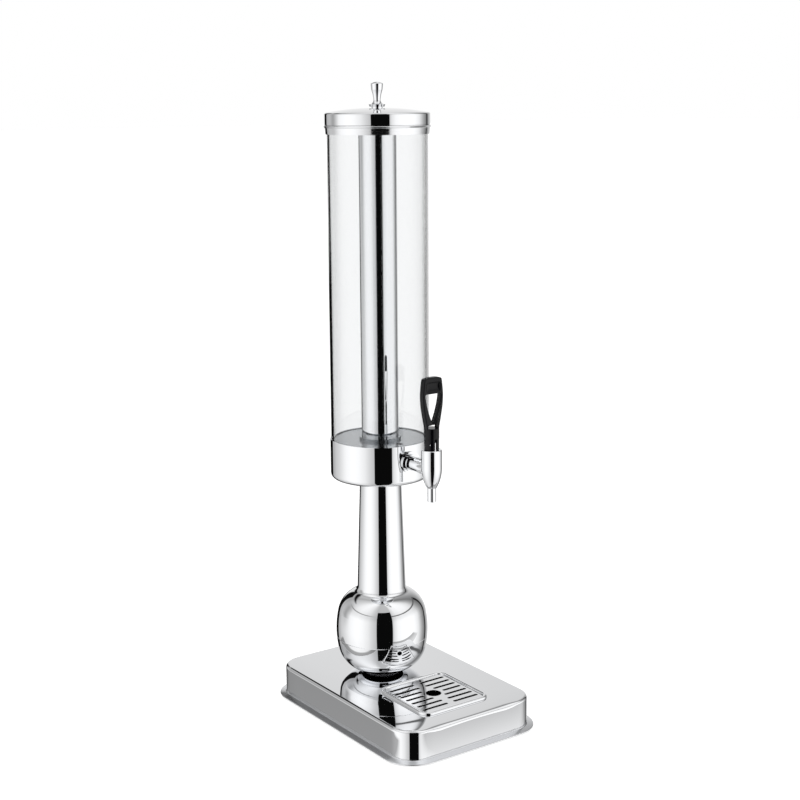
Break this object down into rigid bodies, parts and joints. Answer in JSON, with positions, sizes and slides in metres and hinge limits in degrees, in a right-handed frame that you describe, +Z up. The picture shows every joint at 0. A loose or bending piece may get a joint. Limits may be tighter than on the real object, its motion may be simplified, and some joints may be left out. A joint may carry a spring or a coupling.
{
  "type": "beer tower dispenser",
  "caption": "Table-top beer tower: clear tank tube with an ice tube and a lid, on a polished column and ball, with a lever tap over a drip tray in its base.",
  "frame": {"origin": "middle of the base's footprint on the table", "axes": "+Z up, the tap and the drip tray face -Y, +X to the right seen from the front"},
  "size_m": [0.21, 0.298, 0.7639],
  "materials": {
    "polished_steel": "mirror polished stainless steel",
    "plain_steel": "plain bright steel",
    "rubber": "matt black",
    "clear_plastic": "clear acrylic",
    "black_plastic": "glossy black moulding",
    "grey_plastic": "moulded, fine grain",
    "white_plastic": "moulded, satin",
    "brass": "turned"
  },
  "bodies": {
    "tower": {"base_cover": "polished_steel", "column_plate": "plain_steel", "corner_brackets": "plain_steel", "bottom_plate": "plain_steel", "rubber_feet": "rubber", "foot_screws": "plain_steel", "foot_gasket": "rubber", "ball_bowl": "polished_steel", "column_shell": "polished_steel", "column_cap": "plain_steel", "tie_rod": "plain_steel", "base_washer": "plain_steel", "base_nut": "plain_steel", "rod_cap_nut": "plain_steel", "cup_shell": "polished_steel", "tank_hub": "grey_plastic", "hub_ring": "rubber", "tube_gasket": "rubber", "tank_floor": "polished_steel", "ice_tube_socket": "polished_steel", "clear_tube": "clear_plastic", "collar_ring": "polished_steel", "tap_body": "polished_steel", "tap_flange": "polished_steel", "flange_gasket": "rubber", "tap_shank": "brass", "shank_ring": "rubber", "spout": "polished_steel", "bonnet": "polished_steel", "lever_pin": "plain_steel", "valve_spring": "plain_steel"},
    "drip_tray": {"drip_tray": "polished_steel"},
    "drip_grate": {"drip_grate": "polished_steel"},
    "ice_tube": {"ice_tube": "polished_steel"},
    "ice_tube_cap": {"ice_tube_cap": "polished_steel"},
    "lid": {"lid_cover": "polished_steel", "lid_liner": "white_plastic", "lid_knob": "polished_steel", "knob_screw": "plain_steel"},
    "lever": {"lever_handle": "black_plastic"},
    "valve": {"valve_stem": "brass", "lift_pin": "plain_steel", "valve_plunger": "brass", "valve_seal": "rubber"}
  },
  "joints": [
    {"name": "tray_lift", "type": "slide", "parent": "tower", "child": "drip_tray", "axis": [0, 0, 1], "range_m": [0, 0.08]},
    {"name": "grate_lift", "type": "slide", "parent": "drip_tray", "child": "drip_grate", "axis": [0, 0, 1], "range_m": [0, 0.05]},
    {"name": "ice_tube_lift", "type": "slide", "parent": "tower", "child": "ice_tube", "axis": [0, 0, 1], "range_m": [0, 0.4]},
    {"name": "cap_lift", "type": "slide", "parent": "ice_tube", "child": "ice_tube_cap", "axis": [0, 0, 1], "range_m": [0, 0.05]},
    {"name": "lid_lift", "type": "slide", "parent": "ice_tube_cap", "child": "lid", "axis": [0, 0, 1], "range_m": [0, 0.1]},
    {"name": "lever_tilt", "type": "hinge", "parent": "tower", "child": "lever", "pos_m": [0, -0.0652, 0.35], "axis": [1, 0, 0], "range_deg": [0, 45], "stiffness_Nm_per_rad": 0.039, "springref_deg": -56.15},
    {"name": "valve_lift", "type": "slide", "parent": "tower", "child": "valve", "axis": [0, 0, 1], "range_m": [0, 0.004], "deforming": ["valve_spring"]}
  ],
  "couplings": [
    {"joint": "valve_lift", "follows": "lever_tilt", "m_per_rad": 0.00509}
  ]
}
